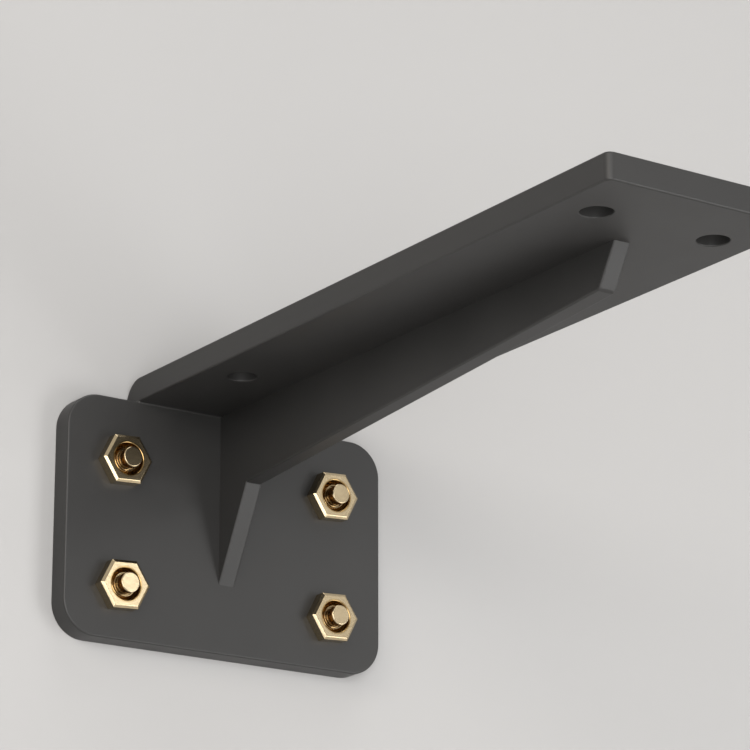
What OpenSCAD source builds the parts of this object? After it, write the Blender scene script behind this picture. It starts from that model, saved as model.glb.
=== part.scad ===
// Shelf bracket: one folded steel plate, a flat stiffening rib and four wall anchors.
// The origin lies on the wall plane, at the centre of the four anchors.
// +Z is up, +Y goes into the wall and the arm reaches out towards -Y.

/* [Folded plate] */
// Thickness of the steel plate
plate_t = 7; // [5:0.5:9]
// Width of the wall leg
wall_w = 100; // [90:1:140]
// Height of the wall leg, up to the top of the arm
wall_h = 73.4; // [70:0.1:110]
// Radius of the wall leg's corners
wall_corner_r = 9.5; // [3:0.5:12]
// Reach of the arm, from the wall to its front edge
arm_reach = 213.4; // [210:0.1:320]
// Width of the arm
arm_w = 57; // [50:0.5:80]
// Radius of the arm's two front corners
arm_corner_r = 2; // [1:0.5:8]
// Inside radius of the fold
fold_in_r = 0.5; // [0.5:0.5:3]
// Width of the broken edges on the plate and the rib
edge_break = 0.5; // [0.2:0.1:0.8]

/* [Holes for the shelf's screws] */
// Diameter of each hole in the arm
arm_hole_d = 8; // [4:0.5:10]
// Distance between the holes across the arm
arm_hole_dx = 34.5; // [28:0.5:40]
// Distance from the wall to the inner pair of holes
arm_hole_back = 41.6; // [30:0.1:80]
// Distance from the arm's front edge to the outer pair of holes
arm_hole_front = 19; // [10:0.5:25]

/* [Anchor pattern] */
// Distance from each side edge of the wall leg to the nearest anchors
anchor_side = 16.75; // [13:0.25:19]
// Distance between the anchors up the wall
anchor_dz = 34.4; // [28:0.1:36]
// Distance from the wall leg's bottom edge to the lower anchors
anchor_low = 14.4; // [12:0.1:18]
// Gap all round each anchor in its hole in the wall leg
hole_gap = 0.5; // [0.25:0.25:1]

/* [Rib] */
// Thickness of the rib
rib_t = 5; // [3:0.5:8]
// Length of the rib along the arm, from the wall leg
rib_len = 175; // [120:1:185]
// Height of the rib at the wall leg
rib_wall_h = 47.3; // [36:0.1:60]
// How far the steep foot runs out from the wall leg
rib_foot_out = 13.4; // [8:0.1:24]
// Depth of the rib below the arm where the foot ends
rib_foot_drop = 21.6; // [16:0.1:30]
// Depth of the rib below the arm at its outer tip
rib_tip_drop = 10.7; // [5:0.1:14]
// How far the rib's outer end slopes back
rib_tip_in = 6.3; // [2:0.1:12]
// Gap between the rib's snipped corner and the fold
rib_snip_gap = 0.1; // [0.1:0.1:1]

/* [Nuts] */
// Width of each nut across its flats
nut_af = 13; // [12:0.5:15]
// Height of each nut
nut_h = 3.6; // [3:0.1:6.5]
// Width of the bevel around each nut's outer face
nut_bevel = 0.8; // [0.4:0.1:1.4]
// Depth of that bevel
nut_bevel_depth = 0.5; // [0.3:0.1:1.2]
// Depth and width of each nut's countersink
nut_sink = 0.6; // [0.1:0.05:0.8]
// Gap all round the thread in each nut
thread_gap = 0.05; // [0.02:0.01:0.1]
// Turn of each nut on its thread, in degrees
nut_turn = 3; // [0:1:30]

/* [Anchors] */
// Outer diameter of each anchor's thread
anchor_d = 8; // [7.5:0.1:8.5]
// Length of each anchor, from end to end
anchor_len = 65; // [62:1:115]
// How far each anchor stands out from the wall leg
anchor_out = 6; // [5:0.1:10]
// Length of the plain tip that takes the hammer blows
tip_len = 3.3; // [1:0.1:4]
// Diameter of that tip
tip_d = 5.5; // [4:0.1:6]
// Chamfer where the thread ends
thread_chamfer = 0.5; // [0.3:0.1:0.9]
// Length of the thread
thread_len = 30; // [24:1:32]
// Diameter of the plain shank behind the thread
shank_d = 7.1; // [6:0.1:7.5]
// Diameter of the waisted neck under the clip
neck_d = 5; // [4:0.1:5.4]
// Diameter of the cone's wide end
cone_d = 7.8; // [6.5:0.1:8]
// Length of the cone's taper
cone_len = 5; // [3:0.5:8]
// Length of the straight end behind the cone
cone_land = 1.5; // [1:0.5:3]

/* [Expansion clips] */
// Length of each clip
clip_len = 10; // [8:0.5:14]
// Thickness of the clip's sheet
clip_t = 1.2; // [0.8:0.1:1.2]
// Width of the slots between its tongues
slot_w = 1; // [0.6:0.1:1.5]
// Length of the two slots that stop short
slot_len = 6; // [4:0.5:7]
// Gap between the clip and the neck
clip_gap = 0.1; // [0.05:0.05:0.2]

/* [Hidden] */
steel_grey = [0.22, 0.22, 0.23];
passivated_gold = [0.80, 0.66, 0.40];
round_fn = 96;
// How far a cutting shape runs past the face that it cuts
cut_over = 1;
fold_out_r = fold_in_r + plate_t;
leg_bottom = -(anchor_low + anchor_dz / 2);
arm_top = leg_bottom + wall_h;
arm_under = arm_top - plate_t;
anchor_dx = wall_w - 2 * anchor_side;
anchor_tip = plate_t + anchor_out;
anchor_tail = anchor_tip - anchor_len;
thread_top = anchor_tip - tip_len;
tip_chamfer = 0.3;
neck_start = anchor_tail + cone_land + cone_len;
neck_len = clip_len + 2 * clip_gap;
left = -1;
right = 1;
upper = 1;
lower = -1;

// End view of a flat bar that lies on the X axis, with its four edges broken
function bar_outline(w, t, c) = [
    [-w / 2 + c, 0], [w / 2 - c, 0], [w / 2, c], [w / 2, t - c],
    [w / 2 - c, t], [-w / 2 + c, t], [-w / 2, t - c], [-w / 2, c]
];

// Stands a shape drawn in plan up in the YZ plane, with its thickness along X
module side_on() {
    rotate([90, 0, 90])
        children();
}

// Puts a turned shape at one anchor's place, with its own Z axis pointing out of the wall
module at_anchor(side, row) {
    translate([side * anchor_dx / 2, 0, row * anchor_dz / 2])
        rotate([90, 0, 0])
            children();
}

// Flat rectangular slab, centred in plan, with round corners and broken edges
module broken_slab(w, h, t, r, c) {
    for (x = [-1, 1], y = [-1, 1])
        translate([x * (w / 2 - r), y * (h / 2 - r), 0])
            rotate_extrude($fn = round_fn)
                polygon([[0, 0], [r - c, 0], [r, c], [r, t - c], [r - c, t], [0, t]]);
    translate([-(w / 2 - r), 0, 0])
        side_on()
            linear_extrude(w - 2 * r)
                polygon(bar_outline(h, t, c));
    translate([0, h / 2 - r, 0])
        rotate([90, 0, 0])
            linear_extrude(h - 2 * r)
                polygon(bar_outline(w, t, c));
}

// The leg stands on the wall, and its top edge is level with the arm's underside
module wall_leg() {
    leg_h = wall_h - plate_t;
    translate([0, 0, leg_bottom + leg_h / 2])
        rotate([90, 0, 0])
            broken_slab(wall_w, leg_h, plate_t, wall_corner_r, edge_break);
}

// The quarter turn between the leg and the arm
module fold() {
    section = [for (p = bar_outline(arm_w, plate_t, edge_break)) [fold_in_r + p[1], p[0]]];
    translate([0, -fold_out_r, arm_top - fold_out_r])
        side_on()
            rotate_extrude(angle = 90, $fn = round_fn)
                polygon(section);
}

// The arm is a slab whose back end is cut off square where the fold begins
module arm() {
    cut_off = arm_corner_r + edge_break;
    slab_len = arm_reach - fold_out_r + cut_off;
    translate([0, -arm_reach + slab_len / 2, arm_under])
        difference() {
            broken_slab(arm_w, slab_len, plate_t, arm_corner_r, edge_break);
            translate([-arm_w / 2 - cut_over, slab_len / 2 - cut_off, -cut_over])
                cube([arm_w + 2 * cut_over, cut_off + cut_over, plate_t + 2 * cut_over]);
        }
}

module folded_plate() {
    color(steel_grey)
        difference() {
            union() {
                wall_leg();
                fold();
                arm();
            }
            for (x = [-1, 1], y = [arm_hole_back, arm_reach - arm_hole_front])
                translate([x * arm_hole_dx / 2, -y, arm_under - cut_over])
                    cylinder(d = arm_hole_d, h = plate_t + 2 * cut_over, $fn = round_fn);
            for (side = [left, right], row = [upper, lower])
                at_anchor(side, row)
                    translate([0, 0, -cut_over])
                        cylinder(d = anchor_d + 2 * hole_gap, h = plate_t + 2 * cut_over, $fn = round_fn);
        }
}

// Flat bar cut to an outline, with a bevel of width c on both sides of its edges first to last
module broken_bar(outline, first, last, t, c) {
    difference() {
        linear_extrude(t)
            polygon(outline);
        for (i = [first:last], far = [0, 1]) {
            run = outline[i + 1] - outline[i];
            translate([outline[i][0], outline[i][1], far * t])
                rotate(atan2(run[1], run[0]))
                    rotate([far == 1 ? 45 : -45, 0, 0])
                        translate([-cut_over, -c / sqrt(2), -cut_over])
                            cube([norm(run) + 2 * cut_over, 2 * cut_over, 2 * cut_over]);
        }
    }
}

// Flat bar under the arm: a steep foot at the wall, a long straight edge and a sloping end.
// Its inner corner is snipped to clear the fold. It is made as two bars that cross at the knee,
// so the bevels of the foot and of the long edge meet there in a mitre.
module rib() {
    snip = fold_in_r + rib_snip_gap;
    foot = [0, -rib_wall_h];
    knee = [-rib_foot_out, -rib_foot_drop];
    tip = [-(rib_len - rib_tip_in), -rib_tip_drop];
    end = [-rib_len, 0];
    foot_top = [knee[0] * foot[1] / (foot[1] - knee[1]), 0];
    edge_root = [0, knee[1] - knee[0] * (tip[1] - knee[1]) / (tip[0] - knee[0])];
    color(steel_grey)
        translate([-rib_t / 2, -plate_t, arm_under])
            side_on() {
                broken_bar([[0, -snip], foot, foot_top, [-snip, 0]], 1, 1, rib_t, edge_break);
                broken_bar([[0, -snip], edge_root, tip, end, [-snip, 0]], 1, 2, rib_t, edge_break);
            }
}

// Low hexagon nut with a flat bevel on each side of its outer face: three bars that cross
module hex_nut(side, row) {
    bore_d = anchor_d + 2 * thread_gap;
    mouth_d = bore_d + 2 * nut_sink;
    color(passivated_gold)
        at_anchor(side, row)
            translate([0, 0, plate_t])
                difference() {
                    intersection_for(a = [30, 90, 150])
                        rotate([90, 0, a + nut_turn])
                            linear_extrude(2 * nut_af, center = true)
                                polygon([
                                    [-nut_af / 2, 0], [nut_af / 2, 0], [nut_af / 2, nut_h - nut_bevel_depth],
                                    [nut_af / 2 - nut_bevel, nut_h], [-nut_af / 2 + nut_bevel, nut_h],
                                    [-nut_af / 2, nut_h - nut_bevel_depth]
                                ]);
                    translate([0, 0, -cut_over])
                        cylinder(d = bore_d, h = nut_h + 2 * cut_over, $fn = round_fn);
                    translate([0, 0, nut_h - nut_sink])
                        cylinder(d1 = bore_d, d2 = mouth_d, h = nut_sink, $fn = round_fn);
                }
}

// Wall anchor turned from bar: tip, thread, shank, neck and expansion cone.
// The thread is drawn at its outer diameter.
module anchor_bolt(side, row) {
    thread_bottom = thread_top - thread_len;
    thread_root_r = anchor_d / 2 - thread_chamfer;
    color(passivated_gold)
        at_anchor(side, row)
            rotate_extrude($fn = round_fn)
                polygon([
                    [0, anchor_tip], [tip_d / 2 - tip_chamfer, anchor_tip], [tip_d / 2, anchor_tip - tip_chamfer],
                    [tip_d / 2, thread_top], [thread_root_r, thread_top],
                    [anchor_d / 2, thread_top - thread_chamfer],
                    [anchor_d / 2, thread_bottom + thread_chamfer],
                    [shank_d / 2, thread_bottom + thread_chamfer - (anchor_d - shank_d) / 2],
                    [shank_d / 2, neck_start + neck_len], [neck_d / 2, neck_start + neck_len],
                    [neck_d / 2, neck_start], [cone_d / 2, anchor_tail + cone_land],
                    [cone_d / 2, anchor_tail + thread_chamfer], [cone_d / 2 - thread_chamfer, anchor_tail],
                    [0, anchor_tail]
                ]);
}

// Sheet clip rolled round the neck: one slot runs right through it and two stop short
module expansion_clip(side, row) {
    inner_r = neck_d / 2 + clip_gap;
    outer_r = inner_r + clip_t;
    color(passivated_gold)
        at_anchor(side, row)
            translate([0, 0, neck_start + clip_gap])
                difference() {
                    cylinder(r = outer_r, h = clip_len, $fn = round_fn);
                    translate([0, 0, -cut_over])
                        cylinder(r = inner_r, h = clip_len + 2 * cut_over, $fn = round_fn);
                    translate([-slot_w / 2, 0, -cut_over])
                        cube([slot_w, outer_r + cut_over, clip_len + 2 * cut_over]);
                    for (a = [120, 240])
                        rotate(a) {
                            translate([-slot_w / 2, 0, -cut_over])
                                cube([slot_w, outer_r + cut_over, slot_len + cut_over]);
                            translate([0, 0, slot_len])
                                rotate([-90, 0, 0])
                                    cylinder(d = slot_w, h = outer_r + cut_over, $fn = round_fn);
                        }
                }
}

folded_plate();
rib();
hex_nut(left, upper);  // hex_nut_upper_left
hex_nut(right, upper);  // hex_nut_upper_right
hex_nut(left, lower);  // hex_nut_lower_left
hex_nut(right, lower);  // hex_nut_lower_right
anchor_bolt(left, upper);  // anchor_bolt_upper_left
anchor_bolt(right, upper);  // anchor_bolt_upper_right
anchor_bolt(left, lower);  // anchor_bolt_lower_left
anchor_bolt(right, lower);  // anchor_bolt_lower_right
expansion_clip(left, upper);  // expansion_clip_upper_left
expansion_clip(right, upper);  // expansion_clip_upper_right
expansion_clip(left, lower);  // expansion_clip_lower_left
expansion_clip(right, lower);  // expansion_clip_lower_right
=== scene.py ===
# %% [markdown]
# # A heavy shelf bracket, piece by piece
#
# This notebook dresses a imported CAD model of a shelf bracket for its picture. The real bracket is
# one thick steel plate, cut to a T and folded, with a flat rib welded under it. Four anchors with
# low hexagon nuts hold it. The plate and the rib wear a satin charcoal powder coat, and the nuts,
# anchors and clips a gold zinc passivation.
#
# Each step first says what the piece is, how it could be made and why it is made this way. The code
# below it is short and prints what it made.

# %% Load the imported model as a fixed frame
import math
from contextlib import contextmanager

import bmesh
import bpy
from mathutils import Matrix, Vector


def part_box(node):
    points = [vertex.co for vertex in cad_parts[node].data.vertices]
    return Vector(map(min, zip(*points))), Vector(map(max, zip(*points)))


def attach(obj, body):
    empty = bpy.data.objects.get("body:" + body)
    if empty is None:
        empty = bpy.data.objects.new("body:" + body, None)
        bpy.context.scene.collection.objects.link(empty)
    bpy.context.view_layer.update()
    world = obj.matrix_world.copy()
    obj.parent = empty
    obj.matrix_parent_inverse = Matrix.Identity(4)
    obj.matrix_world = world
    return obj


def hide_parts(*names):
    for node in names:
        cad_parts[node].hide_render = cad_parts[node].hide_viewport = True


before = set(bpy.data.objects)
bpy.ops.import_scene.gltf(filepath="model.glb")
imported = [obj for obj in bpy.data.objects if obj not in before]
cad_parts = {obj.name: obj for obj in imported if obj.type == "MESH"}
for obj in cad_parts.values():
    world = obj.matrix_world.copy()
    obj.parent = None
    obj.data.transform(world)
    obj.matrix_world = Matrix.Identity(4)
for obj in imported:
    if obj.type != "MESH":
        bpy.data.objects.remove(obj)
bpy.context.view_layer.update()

print("CAD nodes:", ", ".join(sorted(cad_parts)))

# %% [markdown]
# ## Working in millimetres
#
# Blender's scene is in metres, and a bracket is drawn in millimetres. All sizes below are written in
# millimetres, and one factor turns them into metres. The outer sizes come from the frame itself: the
# corners of the plate's box. The sizes inside that box are the drawing's own.

# %% Sizes of the bracket
MM = 0.001

plate_low, plate_high = (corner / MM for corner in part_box("folded_plate"))
leg_bottom, arm_top = plate_low.z, plate_high.z
arm_front = plate_low.y
half_leg = plate_high.x
half_arm = 57.0 / 2
plate_t = 7.0
arm_under = arm_top - plate_t
print(f"Leg {2 * half_leg:.1f} mm wide, arm {-arm_front:.1f} mm long, plate {plate_t:.1f} mm thick")

# %% [markdown]
# ## A small bench of hand tools
#
# By hand, modelling goes: add a primitive, go into edit mode, pick some faces or edges, then
# extrude, bevel or move them. The helpers here are those same moves. Everything is deselected first,
# since an operator acts on all that is selected, and the frame's own nodes come in selected.

# %% Helpers: a piece on the bench
def make_active(piece):
    """Selects one piece and nothing else."""
    bpy.ops.object.select_all(action="DESELECT")
    piece.select_set(True)
    bpy.context.view_layer.objects.active = piece


def settle(piece, name):
    """Names a piece and puts its place, turn and size into its mesh."""
    make_active(piece)
    bpy.ops.object.transform_apply(location=True, rotation=True, scale=True)
    piece.name = piece.data.name = name
    return piece


@contextmanager
def shaping(piece):
    """Edit mode for the length of a with block."""
    make_active(piece)
    bpy.ops.object.mode_set(mode="EDIT")
    yield
    bpy.ops.object.mode_set(mode="OBJECT")


def block(name, low, high):
    """A block between two corners."""
    low, high = Vector(low) * MM, Vector(high) * MM
    bpy.ops.object.select_all(action="DESELECT")
    bpy.ops.mesh.primitive_cube_add(size=1, location=(low + high) / 2)
    bpy.context.object.scale = high - low
    return settle(bpy.context.object, name)


# %% [markdown]
# ### Picking by rule
#
# A script has no mouse, so it picks by a rule about where a face, an edge or a corner lies. A face
# points along an axis when its normal does. An edge is known by its two ends. A little slack keeps
# the rules safe from rounding.

# %% Helpers: picking and shaping in edit mode
SAME = 0.01
SLACK = 0.1
FACING = 0.9
WELD = 1e-6


def near(a, b):
    """True where two measures in millimetres are the same but for rounding."""
    return abs(a - b) < SAME


def lies_at(a, b, **places):
    """True where both ends of an edge lie at the places given as x=, y= or z=."""
    return all(near(getattr(end, axis), place) for end in (a, b) for axis, place in places.items())


def runs_along(a, b, axis):
    """True where an edge runs along one axis."""
    return all(near(getattr(a, other), getattr(b, other)) for other in "xyz" if other != axis)


def pick(piece, kind, wanted):
    """Selects the faces, edges or corners that the rule wants, and says how many there are. The rule
    gets a face's corners and normal, an edge's two ends or a corner's place, in millimetres."""
    bpy.ops.mesh.select_mode(type=kind)
    bpy.ops.mesh.select_all(action="DESELECT")
    shape = bmesh.from_edit_mesh(piece.data)
    count = 0
    for part in {"FACE": shape.faces, "EDGE": shape.edges, "VERT": shape.verts}[kind]:
        corners = [v.co / MM for v in ([part] if kind == "VERT" else part.verts)]
        if wanted(corners, part.normal) if kind == "FACE" else wanted(*corners):
            part.select_set(True)
            count += 1
    shape.select_flush_mode()
    bmesh.update_edit_mesh(piece.data)
    return count


def extrude(x=0, y=0, z=0):
    """Pulls the picked faces or corners out to new ones."""
    bpy.ops.mesh.extrude_region_move(TRANSFORM_OT_translate={"value": (x * MM, y * MM, z * MM)})


def move(x=0, y=0, z=0):
    """Moves what is picked."""
    bpy.ops.transform.translate(value=(x * MM, y * MM, z * MM))


def bevel(width, segments):
    """Rounds the picked edges, or cuts them flat with one segment."""
    bpy.ops.mesh.bevel(offset=width * MM, offset_type="OFFSET", segments=segments, affect="EDGES")


def merge_flat_faces():
    """Takes out the lines that only divide a flat face."""
    bpy.ops.mesh.select_all(action="SELECT")
    bpy.ops.mesh.dissolve_limited(angle_limit=math.radians(1))


# %% [markdown]
# ### Cutting and finishing
#
# Holes, threads and slots are cut with a Boolean modifier, and edges are broken with a Bevel
# modifier that finds them by their angle. Both are applied at once, so that each step works on the
# real shape. The last step shades curves smooth and keeps flat faces flat.

# %% Helpers: modifiers and cuts
def finish_with(piece, kind, **settings):
    """Adds one modifier, sets it and applies it."""
    make_active(piece)
    bpy.ops.object.modifier_add(type=kind)
    modifier = piece.modifiers[-1]
    for name, value in settings.items():
        setattr(modifier, name, value)
    bpy.ops.object.modifier_apply(modifier=modifier.name)


def cut(piece, cutter):
    """Takes the cutter's shape out of the piece and throws the cutter away."""
    finish_with(piece, "BOOLEAN", object=cutter, operation="DIFFERENCE", solver="EXACT")
    bpy.data.objects.remove(cutter)


def break_edges(piece, width, segments, sharper_than=40):
    """Rounds every edge that is sharper than an angle in degrees."""
    finish_with(piece, "BEVEL", width=width * MM, segments=segments, limit_method="ANGLE",
                angle_limit=math.radians(sharper_than), use_clamp_overlap=False)


def smooth(piece, up_to=35):
    """Shades curves smooth while flat faces stay flat, and reports the piece."""
    make_active(piece)
    bpy.ops.object.shade_smooth_by_angle(angle=math.radians(up_to))
    finish_with(piece, "WEIGHTED_NORMAL", keep_sharp=True)
    size = piece.dimensions / MM
    print(f"{piece.name}: {len(piece.data.polygons)} faces, {size.x:.1f} x {size.y:.1f} x {size.z:.1f} mm")


# %% [markdown]
# ### A lathe
#
# Drills, reamers, anchors and clips are all round, so one helper turns them. A single point is
# pulled along half of the outline, and the line that it leaves is spun once round the Z axis.

# %% Helpers: drawing an outline and turning it
def draw_line(name, points):
    """A line of edges through (radius, height) points, drawn in the XZ plane with one point."""
    bpy.ops.object.select_all(action="DESELECT")
    bpy.ops.mesh.primitive_plane_add(size=MM)
    piece = settle(bpy.context.object, name)
    points = [Vector((r, 0, z)) for r, z in points]
    with shaping(piece):
        bpy.ops.mesh.select_mode(type="VERT")
        bpy.ops.mesh.select_all(action="SELECT")
        bpy.ops.mesh.merge(type="CENTER")
        move(*points[0])
        for a, b in zip(points, points[1:]):
            extrude(*(b - a))
        close_seams()
    return piece


def close_seams():
    """Joins corners that lie on one another."""
    bpy.ops.mesh.select_all(action="SELECT")
    bpy.ops.mesh.remove_doubles(threshold=WELD)


def turned(name, outline, steps=96):
    """Turns an outline of (radius, height) points once round the Z axis."""
    piece = draw_line(name, outline)
    with shaping(piece):
        bpy.ops.mesh.select_all(action="SELECT")
        bpy.ops.mesh.spin(steps=steps, angle=2 * math.pi, center=(0, 0, 0), axis=(0, 0, 1))
        close_seams()
        bpy.ops.mesh.normals_make_consistent(inside=False)
    return piece


# %% [markdown]
# ## The folded plate
#
# The real plate is laser cut to a T from 7 mm steel. The head of the T is the upright leg, and the
# long stem is folded through a right angle into the arm. A box with a second box on it would show
# two plates, so the piece is pulled out of one block as the real one is bent out of one sheet:
# first a strip as wide as the arm, then the arm forwards, then the big round outside of the fold,
# and last the two ears that make the leg wide.

# %% Strip, arm and fold
plate = block("folded_steel_plate", (-half_arm, -plate_t, leg_bottom), (half_arm, 0, arm_top))
with shaping(plate):
    bpy.ops.mesh.select_all(action="SELECT")
    bpy.ops.mesh.bisect(plane_co=(0, 0, arm_under * MM), plane_no=(0, 0, 1), threshold=WELD)
    pick(plate, "FACE", lambda corners, normal:
         normal.y < -FACING and min(c.z for c in corners) > arm_under - SLACK)
    extrude(y=arm_front + plate_t)
    merge_flat_faces()
    folds = pick(plate, "EDGE", lambda a, b: lies_at(a, b, y=0, z=arm_top))
    bevel(plate_t, segments=18)
print(f"{folds} fold, {len(plate.data.polygons)} faces")

# %% [markdown]
# ### Ears and round corners
#
# The ears are pulled out sideways from the leg's two sides. They have to stop level with the arm's
# underside, so an edge is first drawn there across each side. Each corner of the leg is then one
# bevelled edge with a large radius.

# %% Ears, leg corners and arm corners
leg_corner_r = 9.5
arm_corner_r = 2.0
with shaping(plate):
    pick(plate, "VERT", lambda at: near(at.z, arm_under) and at.y > -plate_t - SLACK)
    bpy.ops.mesh.vert_connect()
    for side in (-1, 1):
        pick(plate, "FACE", lambda corners, normal:
             normal.x * side > FACING and max(c.z for c in corners) < arm_under + SLACK)
        extrude(x=side * (half_leg - half_arm))
    pick(plate, "EDGE", lambda a, b: runs_along(a, b, "y") and near(abs(a.x), half_leg))
    bevel(leg_corner_r, segments=18)
    pick(plate, "EDGE", lambda a, b: runs_along(a, b, "z") and near(a.y, arm_front))
    bevel(arm_corner_r, segments=8)
    merge_flat_faces()
print(f"{len(plate.data.polygons)} faces with the ears and corners")

# %% [markdown]
# ### Broken edges
#
# Powder coat doesn't hold on a knife edge, so a maker breaks every edge. That narrow rounding is
# also what catches the light and makes the plate read as thick steel. A Bevel modifier finds all
# the sharp edges by their angle, and the inner corner of the fold gets its small radius from it too.

# %% Break the plate's edges
edge_break = 0.55
break_edges(plate, edge_break, segments=4)
print(f"{len(plate.data.polygons)} faces with the edges broken")

# %% [markdown]
# ### Holes
#
# Four plain 8 mm holes in the arm take screws from below, and four 9 mm holes in the leg let the
# anchors through. Cutting a hole is what a drill does, so a Boolean fits here better than insetting
# a circle into a face. The cutter flares at both ends, as a drill followed by a deburring tool would
# leave the hole, and that is neater than a bevel on a flat face with holes in it. Like every cutter
# below, it reaches a millimetre over the piece's end.

# %% Drill the plate
anchor_x, anchor_z = 33.25, 17.2
anchor_places = {"upper_left": (-anchor_x, anchor_z), "upper_right": (anchor_x, anchor_z),
                 "lower_left": (-anchor_x, -anchor_z), "lower_right": (anchor_x, -anchor_z)}
arm_hole_r, anchor_hole_r = 4.0, 4.5
arm_hole_x, arm_hole_back, arm_hole_front = 34.5 / 2, -41.6, arm_front + 19.0
over = 1.0


def drill(r, depth, flare=0.35, steps=4):
    """A cutter on the Z axis for a hole with softly rounded rims at heights 0 and depth."""
    first, last = 15, 90
    angles = [math.radians(first + (last - first) * i / steps) for i in range(steps + 1)]
    wide, clear = r + flare + 0.1, 0.03
    low = [(wide, -clear)] + [(r + flare * (1 - math.sin(a)), flare * (1 - math.cos(a))) for a in angles]
    high = [(radius, depth - height) for radius, height in reversed(low)]
    return turned("drill", [(0, -over), (wide, -over), *low, *high, (wide, depth + over), (0, depth + over)])


def drill_plate(r, place, turn=0.0):
    """Sets a drill at a place in millimetres, turned about the X axis, and cuts the plate with it."""
    cutter = drill(r, plate_t)
    cutter.rotation_euler.x = turn
    cutter.location = Vector(place) * MM
    cut(plate, settle(cutter, "drill"))


for x in (-arm_hole_x, arm_hole_x):
    for y in (arm_hole_back, arm_hole_front):
        drill_plate(arm_hole_r, (x, y, arm_under))
for x, z in anchor_places.values():
    drill_plate(anchor_hole_r, (x, 0, z), turn=math.pi / 2)
smooth(plate)

# %% [markdown]
# ## The rib
#
# A 5 mm flat bar on edge stiffens the arm. It has a steep foot at the leg, a long straight lower
# edge and a sloping outer end. The outline is drawn by pulling: a short block at the leg, its lower
# front edge lifted to make the foot, and the front face pulled out to make the bar.

# %% Shape the rib
half_rib = 5.0 / 2
rib_back = -plate_t
rib_foot_z = arm_under - 47.3
rib_knee = Vector((0, rib_back - 13.4, arm_under - 21.6))
rib_end_y = rib_back - 175.0
rib_tip = Vector((0, rib_end_y + 6.3, arm_under - 10.7))

rib = block("welded_rib", (-half_rib, rib_knee.y, rib_foot_z), (half_rib, rib_back, arm_under))
with shaping(rib):
    pick(rib, "EDGE", lambda a, b: runs_along(a, b, "x") and near(a.y, rib_knee.y) and a.z < arm_under - 1)
    move(z=rib_knee.z - rib_foot_z)
    pick(rib, "FACE", lambda corners, normal: normal.y < -FACING)
    extrude(y=rib_tip.y - rib_knee.y)
    pick(rib, "EDGE", lambda a, b: runs_along(a, b, "x") and near(a.y, rib_tip.y) and a.z < arm_under - 1)
    move(z=rib_tip.z - rib_knee.z)
    pick(rib, "EDGE", lambda a, b: lies_at(a, b, y=rib_tip.y, z=arm_under))
    move(y=rib_end_y - rib_tip.y)
print(f"Rib outline with {len(rib.data.polygons)} faces")

# %% [markdown]
# ### The rib's edges
#
# Only the free edges are broken. The edges that meet the leg and the arm stay square, because they
# are welded there and a groove would show. The inner corner is snipped so that it clears the fold,
# and the outer lower corner is ground a little round.

# %% Snip, round and break the rib's edges
fold_snip, tip_round, rib_edge_break = 0.6, 0.8, 0.5
weld_zone = fold_snip + SLACK


def at_weld(a, b):
    """True where an edge lies against the leg or the arm."""
    on_leg = min(a.y, b.y) > rib_back - weld_zone
    on_arm = min(a.z, b.z) > arm_under - weld_zone
    return on_leg or on_arm


def free_edge(a, b):
    """True where an edge follows the rib's open outline on one of its two sides."""
    on_one_side = near(a.x, b.x)
    centre = (a + b) / 2
    behind_knee = centre.y > rib_knee.y + SLACK and centre.z > rib_knee.z
    across_knee = lies_at(a, b, y=rib_knee.y)
    return on_one_side and not (at_weld(a, b) or behind_knee or across_knee)


with shaping(rib):
    pick(rib, "EDGE", lambda a, b: lies_at(a, b, y=rib_back, z=arm_under))
    bevel(fold_snip, segments=1)
    pick(rib, "EDGE", lambda a, b: runs_along(a, b, "x") and near(a.y, rib_tip.y))
    bevel(tip_round, segments=4)
    free = pick(rib, "EDGE", free_edge)
    bevel(rib_edge_break, segments=4)
print(f"{free} free edges broken")
smooth(rib)

# %% [markdown]
# ## The nuts
#
# The nuts are low M8 nuts, 13 mm across the flats, with a flat bevel along each side of the outer
# face. A six-sided rod is the blank. Its top is extruded and scaled in to make the bevels, and the
# bore is turned as a cutter and taken out. The mouth of the bore has a rounded rim and a plain step,
# so that it stands open round the anchor, as it does on the real nut.

# %% Make one nut, lying on the XY plane
nut_af, nut_h = 13.0, 3.6
nut_bevel, nut_bevel_depth = 0.7, 0.5
nut_turn = math.radians(3)
blank_h = nut_h - nut_bevel_depth
bpy.ops.object.select_all(action="DESELECT")
bpy.ops.mesh.primitive_cylinder_add(vertices=6, radius=nut_af / 2 / math.cos(math.pi / 6) * MM,
                                    depth=blank_h * MM, location=(0, 0, blank_h / 2 * MM),
                                    rotation=(0, 0, math.pi / 6 + nut_turn))
nut = settle(bpy.context.object, "nut")
with shaping(nut):
    pick(nut, "FACE", lambda corners, normal: normal.z > FACING)
    extrude(z=nut_bevel_depth)
    smaller = 1 - 2 * nut_bevel / nut_af
    bpy.ops.transform.resize(value=(smaller, smaller, 1), center_override=(0, 0, 0))
break_edges(nut, 0.1, segments=3, sharper_than=25)

bore_r, mouth_r, rim_r = 4.05, 4.3, 0.4
step_high, step_low = nut_h - 1.7, nut_h - 2.0
rim_angles = [math.radians(degrees) for degrees in range(0, 90, 15)]
rim = [(mouth_r + rim_r * (1 - math.cos(a)), nut_h - rim_r * (1 - math.sin(a))) for a in rim_angles]
cut(nut, turned("reamer", [
    (0, -over), (bore_r, -over), (bore_r, step_low), (mouth_r, step_high), *rim,
    (mouth_r + rim_r, nut_h + 0.03), (mouth_r + rim_r, nut_h + over), (0, nut_h + over)]))
smooth(nut, up_to=30)

# %% [markdown]
# ## The anchors
#
# Each anchor is turned from bar: a plain tip that takes the hammer blows, an M8 thread, a plain
# shank, a waisted neck and a cone that spreads the clip. The end of the thread is faced off with a
# shallow groove round the tip and then runs up in a lead-in cone.

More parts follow.
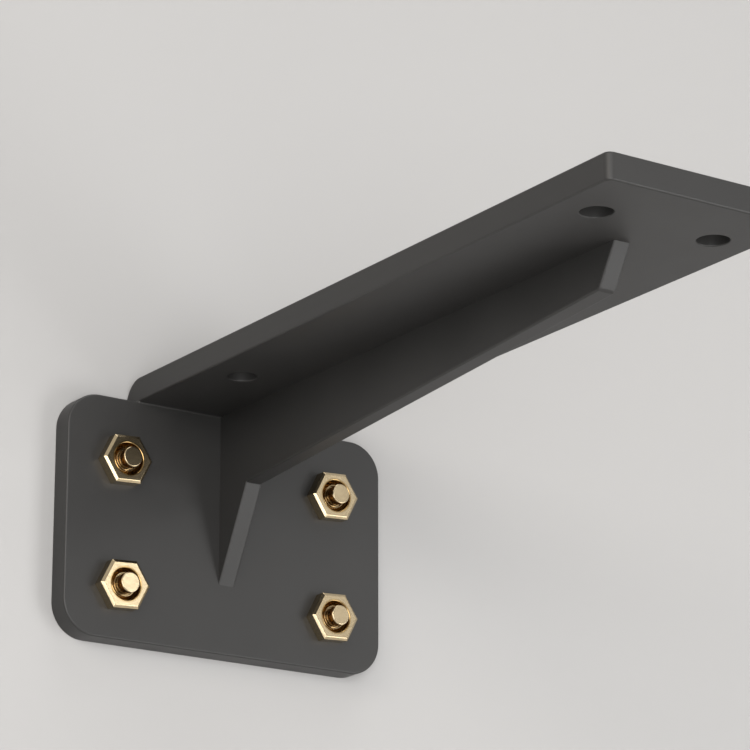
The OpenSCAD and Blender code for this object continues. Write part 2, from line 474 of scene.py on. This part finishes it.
# %% Turn the anchor's blank
anchor_tip, anchor_tail = 13.0, -52.0
thread_top = anchor_tip - 3.3
thread_bottom = thread_top - 30.0
thread_r, shank_r, neck_r, cone_r, tip_r = 4.0, 3.55, 2.5, 3.9, 2.75
chamfer = 0.5
end_groove, ring_in, ring_out, lead_in = 0.45, 2.98, 3.25, 1.0
neck_low, neck_high = anchor_tail + 6.5, anchor_tail + 16.7
cone_top = anchor_tail + 1.5
tip_edge = [(0.32, 0), (0.22, 0), (0.12, 0.03), (0.03, 0.12), (0, 0.22), (0, 0.32)]
anchor = turned("anchor", [
    (0, anchor_tip), *((tip_r - inwards, anchor_tip - down) for inwards, down in tip_edge),
    (tip_r, thread_top - end_groove), (tip_r + 0.1, thread_top - end_groove), (ring_in, thread_top - 0.1),
    (ring_in + 0.08, thread_top), (ring_out - 0.06, thread_top), (ring_out, thread_top - 0.06),
    (thread_r, thread_top - lead_in), (thread_r, thread_bottom + chamfer), (shank_r, thread_bottom + 0.25),
    (shank_r, neck_high), (neck_r, neck_high), (neck_r, neck_low), (cone_r, cone_top),
    (cone_r, anchor_tail + chamfer), (cone_r - chamfer, anchor_tail), (0, anchor_tail)])
print(f"Anchor blank {anchor_tip - anchor_tail:.0f} mm long, {len(anchor.data.polygons)} faces")

# %% [markdown]
# ### The thread
#
# The thread is a real one, because its flanks catch the light behind the leg. A V-shaped outline is
# carried round and up by a Screw modifier, and the coil that it makes is cut out of the turned
# blank, as a die cuts a thread.

# %% Cut the thread
pitch = 1.25
root_r = thread_r - 0.72
clear_r = thread_r + 0.1
root_half = pitch / 8
mouth_half = root_half + (clear_r - root_r) * math.tan(math.radians(30))
turns = math.ceil((thread_top - thread_bottom) / pitch) + 1
groove = [(root_r, -root_half), (clear_r, -mouth_half), (clear_r, mouth_half), (root_r, root_half)]
coil = draw_line("coil", [(r, z + thread_bottom) for r, z in [*groove, groove[0]]])
finish_with(coil, "SCREW", axis="Z", screw_offset=pitch * MM, iterations=turns, steps=48, render_steps=48,
            angle=2 * math.pi)
with shaping(coil):
    bpy.ops.mesh.select_mode(type="EDGE")
    bpy.ops.mesh.select_all(action="DESELECT")
    bpy.ops.mesh.select_non_manifold(extend=False)
    bpy.ops.mesh.fill_holes(sides=0)
    bpy.ops.mesh.select_all(action="SELECT")
    bpy.ops.mesh.normals_make_consistent(inside=False)
cut(anchor, coil)
smooth(anchor, up_to=32)

# %% [markdown]
# ## The expansion clips
#
# A clip is a strip of sheet rolled round the anchor's neck, so one slot runs right through it. Two
# more slots stop short and leave three tongues, which the cone spreads until they grip. The tube is
# turned, and the slots are cut with blocks, two of them with a round end.

# %% Make one clip round the anchor's neck
clip_low, clip_high = neck_low + 0.1, neck_low + 10.1
clip_in_r, clip_t = neck_r + 0.1, 1.2
clip_out_r = clip_in_r + clip_t
slot_half, slot_len, saw_reach = 0.5, 6.0, 6.0
clip = turned("clip", [(clip_in_r, clip_low), (clip_out_r, clip_low), (clip_out_r, clip_high),
                       (clip_in_r, clip_high), (clip_in_r, clip_low)], steps=72)
cut(clip, block("saw", (-slot_half, 0, clip_low - over), (slot_half, saw_reach, clip_high + over)))
for angle in (120, 240):
    slot_end = clip_low + slot_len + slot_half
    saw = block("saw", (-slot_half, 0, clip_low - over), (slot_half, saw_reach, slot_end))
    with shaping(saw):
        pick(saw, "EDGE", lambda a, b: runs_along(a, b, "y") and a.z > clip_low)
        bevel(slot_half - 0.002, segments=8)
    saw.rotation_euler.z = math.radians(angle)
    cut(clip, settle(saw, "saw"))
break_edges(clip, 0.15, segments=2)
smooth(clip)

# %% [markdown]
# ## Four of each
#
# What repeats is modelled once and copied. Each copy gets its own mesh and its place goes into that
# mesh, so that its object stays at the origin like a CAD node's. The lathe's Z axis is laid down to
# point straight out of the leg.

# %% Copy the nut, the anchor and the clip to the four places
def set_in_leg(original, name, place, lift=0.0):
    """A copy of a piece, laid down so that its Z axis points out of the leg's front."""
    copy = original.copy()
    copy.data = original.data.copy()
    bpy.context.scene.collection.objects.link(copy)
    copy.rotation_euler = (math.pi / 2, 0, 0)
    copy.location = Vector((place[0], -lift, place[1])) * MM
    return settle(copy, name)


nuts, anchors, clips = [], [], []
for corner, place in anchor_places.items():
    nuts.append(set_in_leg(nut, f"nut_{corner}", place, lift=plate_t))
    anchors.append(set_in_leg(anchor, f"anchor_{corner}", place))
    clips.append(set_in_leg(clip, f"clip_{corner}", place))
for original in (nut, anchor, clip):
    bpy.data.objects.remove(original)
print(len(nuts), "nuts,", len(anchors), "anchors and", len(clips), "clips")

# %% [markdown]
# ## Finishes
#
# Both finishes are made of node materials, with no pictures. All patterns read Object coordinates,
# so they keep their scale on every piece, and their sizes are written in millimetres too.

# %% Helpers: material nodes
NOISE_LOW, NOISE_HIGH = 0.3, 0.7


def new_material(name):
    """An empty material with a Principled shader, its node tree and its Object coordinates."""
    material = bpy.data.materials.new(name)
    material.use_nodes = True
    tree = material.node_tree
    shader = tree.nodes["Principled BSDF"]
    coordinates = tree.nodes.new("ShaderNodeTexCoord").outputs["Object"]
    return material, tree, shader, coordinates


def noise(tree, coordinates, cell, detail, stretch=(1, 1, 1)):
    """Noise whose cells are about this many millimetres wide, stretched along the axes."""
    mapping = tree.nodes.new("ShaderNodeMapping")
    mapping.inputs["Scale"].default_value = [1 / s for s in stretch]
    texture = tree.nodes.new("ShaderNodeTexNoise")
    texture.inputs["Scale"].default_value = 1 / (cell * MM)
    texture.inputs["Detail"].default_value = detail
    tree.links.new(coordinates, mapping.inputs["Vector"])
    tree.links.new(mapping.outputs["Vector"], texture.inputs["Vector"])
    return texture.outputs["Fac"]


def spread(tree, factor, low, high):
    """Spreads the middle of a noise over a range of values."""
    node = tree.nodes.new("ShaderNodeMapRange")
    settings = {"From Min": NOISE_LOW, "From Max": NOISE_HIGH, "To Min": low, "To Max": high}
    for name, value in settings.items():
        node.inputs[name].default_value = value
    tree.links.new(factor, node.inputs["Value"])
    return node.outputs["Result"]


def ramp(tree, factor, stops):
    """Looks a factor up in a row of (position, colour) stops."""
    node = tree.nodes.new("ShaderNodeValToRGB")
    marks = node.color_ramp.elements
    marks[0].position, marks[1].position = stops[0][0], stops[-1][0]
    for position, _ in stops[1:-1]:
        marks.new(position)
    for mark, (_, colour) in zip(marks, stops):
        mark.color = (*colour, 1)
    tree.links.new(factor, node.inputs["Fac"])
    return node.outputs["Color"]


def two_tones(tree, factor, first, second):
    """A colour that wanders between two tones."""
    return ramp(tree, factor, [(NOISE_LOW, first), (NOISE_HIGH, second)])


def bump(tree, factor, depth, strength):
    """A bump of this depth in millimetres."""
    node = tree.nodes.new("ShaderNodeBump")
    node.inputs["Strength"].default_value = strength
    node.inputs["Distance"].default_value = depth * MM
    tree.links.new(factor, node.inputs["Height"])
    return node.outputs["Normal"]


# %% [markdown]
# ### Powder coat
#
# Powder coat is a plastic film baked on the steel: charcoal, satin, and very finely pebbled like
# orange peel. A flat dark colour would look like a hole in the picture. So the colour wanders a
# little over some centimetres, the sheen changes with it, and a fine bump breaks up the highlights.

# %% Make the powder coat
powder_coat, tree, shader, coordinates = new_material("satin_charcoal_powder_coat")
cloud = noise(tree, coordinates, cell=28, detail=3)
peel = noise(tree, coordinates, cell=0.9, detail=2)
charcoal = two_tones(tree, cloud, (0.0190, 0.0184, 0.0176), (0.0235, 0.0227, 0.0217))
tree.links.new(charcoal, shader.inputs["Base Color"])
tree.links.new(spread(tree, cloud, 0.44, 0.50), shader.inputs["Roughness"])
tree.links.new(bump(tree, peel, depth=0.02, strength=0.25), shader.inputs["Normal"])
shader.inputs["Specular IOR Level"].default_value = 0.5
print("Material:", powder_coat.name)

# %% [markdown]
# ### Gold passivated steel
#
# The nuts and anchors are zinc plated and dipped in a yellow passivate, which gives a pale gold film
# that wanders a little over each piece. In the nut's mouth and round the tip the colour is painted
# darker and browner, as painted shade for the shade that falls in those hollows. The steel under it is
# satin, with fine machining lines. It is a metal, so its look comes from what it mirrors: the colour is
# only the tint of that mirror.
#
# The painted shade lies in rings round each anchor, so the material has to know how far out a point
# lies. The four anchors mirror each other, so the distance is worked out once, from the point's
# unsigned place. Behind the leg's front it is made large, and no shade is painted there.

# %% Helpers: how far a point lies from its own anchor's axis, and a blend by that distance
FAR_OUT = 8.0


def maths(tree, operation, first, second=None):
    """One sum of two links or numbers."""
    node = tree.nodes.new("ShaderNodeMath")
    node.operation = operation
    for socket, value in zip(node.inputs, (first, second)):
        if isinstance(value, (int, float)):
            socket.default_value = value
        elif value is not None:
            tree.links.new(value, socket)
    return node.outputs["Value"]


def out_from_axis(tree, coordinates):
    """Distance in millimetres from the nearest anchor's axis, and a large one behind the leg's front."""
    split = tree.nodes.new("ShaderNodeSeparateXYZ")
    tree.links.new(coordinates, split.inputs["Vector"])
    dx = maths(tree, "SUBTRACT", maths(tree, "ABSOLUTE", split.outputs["X"]), anchor_x * MM)
    dz = maths(tree, "SUBTRACT", maths(tree, "ABSOLUTE", split.outputs["Z"]), anchor_z * MM)
    squares = maths(tree, "ADD", maths(tree, "MULTIPLY", dx, dx), maths(tree, "MULTIPLY", dz, dz))
    distance = maths(tree, "DIVIDE", maths(tree, "SQRT", squares), MM)
    behind = maths(tree, "GREATER_THAN", split.outputs["Y"], -plate_t * MM)
    return maths(tree, "ADD", distance, maths(tree, "MULTIPLY", behind, FAR_OUT))


def blend(tree, factor, first, second):
    """Goes from the first colour to the second one as the factor goes from 0 to 1."""
    node = tree.nodes.new("ShaderNodeMix")
    node.data_type = "RGBA"
    factor_in, first_in, second_in = (node.inputs[i] for i in (0, 6, 7))
    tree.links.new(factor, factor_in)
    tree.links.new(first, first_in)
    second_in.default_value = (*second, 1)
    colour_out = node.outputs[2]
    return colour_out


# %% Make the passivated steel, with painted shade in the nuts' mouths
# The third colour is painted shade: a dark brown laid in rings in the nut's mouth and in the groove round
# the tip.
pale_film, deep_film, painted_shade_colour = (0.47, 0.375, 0.235), (0.52, 0.42, 0.27), (0.31, 0.19, 0.06)
# How much painted shade lies at each distance in millimetres from the anchor's axis; 0 keeps the plain gold
# film.
painted_shade_by_radius = [
    (tip_r - 0.07, 0), (tip_r + 0.01, 0.1), (tip_r + 0.12, 0.8), (ring_in + 0.02, 0.3), (ring_out, 0.3),
    (ring_out + 0.1, 1), (mouth_r + 0.1, 1), (mouth_r + 0.8, 0)]

gold_steel, tree, shader, coordinates = new_material("gold_passivated_steel")
bath = noise(tree, coordinates, cell=6, detail=3)
lines = noise(tree, coordinates, cell=0.35, detail=2, stretch=(4, 1, 1))
radius = maths(tree, "DIVIDE", out_from_axis(tree, coordinates), FAR_OUT)
# The painted shade is looked up by distance and blended over the wandering gold film.
painted_shade = ramp(tree, radius, [(r / FAR_OUT, (share, share, share)) for r, share in painted_shade_by_radius])
film_and_painted_shade = blend(tree, painted_shade, two_tones(tree, bath, pale_film, deep_film), painted_shade_colour)
tree.links.new(film_and_painted_shade, shader.inputs["Base Color"])
tree.links.new(spread(tree, lines, 0.20, 0.25), shader.inputs["Roughness"])
tree.links.new(bump(tree, lines, depth=0.002, strength=0.1), shader.inputs["Normal"])
shader.inputs["Metallic"].default_value = 1.0
print("Material:", gold_steel.name)

# %% [markdown]
# ## Dress the frame
#
# Each new piece rides on the one body that the bracket has and takes its finish, and the CAD node that
# it stands in for is hidden.

# %% Put the finishes on and hand the pieces to the frame
def dress(piece, material, node):
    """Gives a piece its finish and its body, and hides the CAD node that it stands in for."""
    piece.data.materials.clear()
    piece.data.materials.append(material)
    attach(piece, "root")
    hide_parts(node)


dress(plate, powder_coat, "folded_plate")
dress(rib, powder_coat, "rib")
for group, kind in ((nuts, "hex_nut"), (anchors, "anchor_bolt"), (clips, "expansion_clip")):
    for piece, corner in zip(group, anchor_places):
        dress(piece, gold_steel, f"{kind}_{corner}")

# %% [markdown]
# ## Floor and backdrop
#
# The camera looks up at the bracket, so the floor lies far below it and only lends its light. The
# backdrop takes the bracket's soft shadow. It stands a hair in front of the leg's back, within the
# broken edge, so that the leg touches it all round and yet its back stays free. From behind the
# backdrop is clear, so that the back of the leg and the anchors can be seen and lit.

# %% Make the floor and the backdrop
def stage_paint(name, colour, clear_from_behind=False):
    """A matt paint, see-through from behind where that is asked for."""
    material, tree, shader, _ = new_material(name)
    shader.inputs["Base Color"].default_value = (*colour, 1)
    shader.inputs["Roughness"].default_value = 1.0
    shader.inputs["Specular IOR Level"].default_value = 0.0
    if clear_from_behind:
        facing = tree.nodes.new("ShaderNodeNewGeometry").outputs["Backfacing"]
        clear = tree.nodes.new("ShaderNodeBsdfTransparent")
        mix = tree.nodes.new("ShaderNodeMixShader")
        tree.links.new(facing, mix.inputs["Fac"])
        tree.links.new(shader.outputs["BSDF"], mix.inputs[1])
        tree.links.new(clear.outputs["BSDF"], mix.inputs[2])
        tree.links.new(mix.outputs["Shader"], tree.nodes["Material Output"].inputs["Surface"])
    return material


def sheet(name, size, place, material, turn=0.0):
    """A square sheet for the stage, with its size and place in metres, turned about the X axis."""
    bpy.ops.object.select_all(action="DESELECT")
    bpy.ops.mesh.primitive_plane_add(size=size, location=place, rotation=(turn, 0, 0))
    piece = settle(bpy.context.object, name)
    piece.data.materials.append(material)
    return piece


floor = sheet("floor", 30, (0, 0, -1.2), stage_paint("floor_paint", (0.70, 0.69, 0.68)))
backdrop_paint = stage_paint("backdrop_paint", (0.46, 0.454, 0.448), clear_from_behind=True)
backdrop = sheet("backdrop", 3, (0, -0.2 * MM, 0.6), backdrop_paint, turn=math.pi / 2)
print("Stage:", floor.name, "and", backdrop.name)

# %% [markdown]
# ## Light
#
# Plain soft studio light, all of it from soft boxes. Two large ones in front light the leg and the
# arm's edges, a low one reaches the underside and the rib's slopes, one on the left lights the arm's
# side and one overhead its top. The glint box stands where the nuts' faces mirror it, because bright
# metal shows only what it mirrors. The back box lights what stands behind the backdrop and doesn't
# reach the front.

# %% Hang the lamps
def soft_box(name, place, side, power, target=(0, -0.08, 0), colour=(1, 1, 1)):
    """A square soft box, aimed at the bracket's middle or at another target."""
    lamp = bpy.data.lights.new(name, "AREA")
    lamp.shape = "SQUARE"
    lamp.size = side
    lamp.energy = power
    lamp.color = colour
    holder = bpy.data.objects.new(name, lamp)
    bpy.context.scene.collection.objects.link(holder)
    holder.location = place
    holder.rotation_euler = (Vector(target) - Vector(place)).to_track_quat("-Z", "Y").to_euler()
    print(f"{name}: {side} m, {power} W")


lower_left_nut = (-0.033, -0.01, -0.017)
soft_box("front_left_box", (-0.85, -1.8, -0.2), side=1.2, power=28)
soft_box("front_right_box", (1.25, -1.6, -0.35), side=0.9, power=11)
soft_box("low_right_box", (1.1, -1.37, -0.95), side=0.7, power=6)
soft_box("left_box", (-1.55, -1.05, 0.56), side=0.9, power=11, colour=(1.0, 0.93, 0.85))
soft_box("over_box", (0.1, -0.6, 1.7), side=1.0, power=9)
soft_box("back_box", (1.0, 1.7, 1.2), side=2.0, power=60)
soft_box("glint_box", (0.694, -1.438, 0.379), side=0.2, power=0.65, target=lower_left_nut)

# %% [markdown]
# ### The world
#
# The world fills the shadows a little as a light. The camera, mirrors and glass see it paler than
# that, so that what the gold steel mirrors is as pale as what stands behind the bracket. The
# Light Path node tells the two apart.

# %% Make the pale world
world = bpy.data.worlds.new("pale_world")
bpy.context.scene.world = world
world.use_nodes = True
sky = world.node_tree
fill = sky.nodes["Background"]
fill.inputs["Color"].default_value = (1.0, 0.99, 0.98, 1)
fill.inputs["Strength"].default_value = 0.3
seen = sky.nodes.new("ShaderNodeBackground")
seen.inputs["Color"].default_value = (0.66, 0.655, 0.645, 1)
rays = sky.nodes.new("ShaderNodeLightPath")
is_seen = rays.outputs["Is Camera Ray"]
for kind in ("Is Glossy Ray", "Is Transmission Ray"):
    is_seen = maths(sky, "MAXIMUM", is_seen, rays.outputs[kind])
chosen = sky.nodes.new("ShaderNodeMixShader")
sky.links.new(is_seen, chosen.inputs["Fac"])
sky.links.new(fill.outputs["Background"], chosen.inputs[1])
sky.links.new(seen.outputs["Background"], chosen.inputs[2])
sky.links.new(chosen.outputs["Shader"], sky.nodes["World Output"].inputs["Surface"])
bpy.context.scene.view_settings.view_transform = "Standard"
print("World:", world.name)

# %% [markdown]
# ## Camera
#
# The camera stands to the left, in front of and below the bracket, and looks up at it through a long
# lens. Its place and turn were worked out from the photograph's straight edges.

# %% Place the camera
camera_place = (-0.4825, -0.7881, -0.2398)
right = Vector((0.827028143, -0.562160194, -0.000605252))
down = Vector((0.167453646, 0.247378763, -0.954339051))
forward = Vector((0.536641153, 0.789163902, 0.298724973))
camera_data = bpy.data.cameras.new("camera")
camera_data.sensor_width = 36
camera_data.lens = 167.4
camera_data.clip_start, camera_data.clip_end = 0.05, 30
camera = bpy.data.objects.new("camera", camera_data)
bpy.context.scene.collection.objects.link(camera)
camera.location = camera_place
turn = camera.matrix_world.to_3x3()
turn.col[0], turn.col[1], turn.col[2] = right, -down, -forward
camera.rotation_euler = turn.to_euler()
bpy.context.scene.camera = camera
print("Camera lens:", camera_data.lens, "mm")
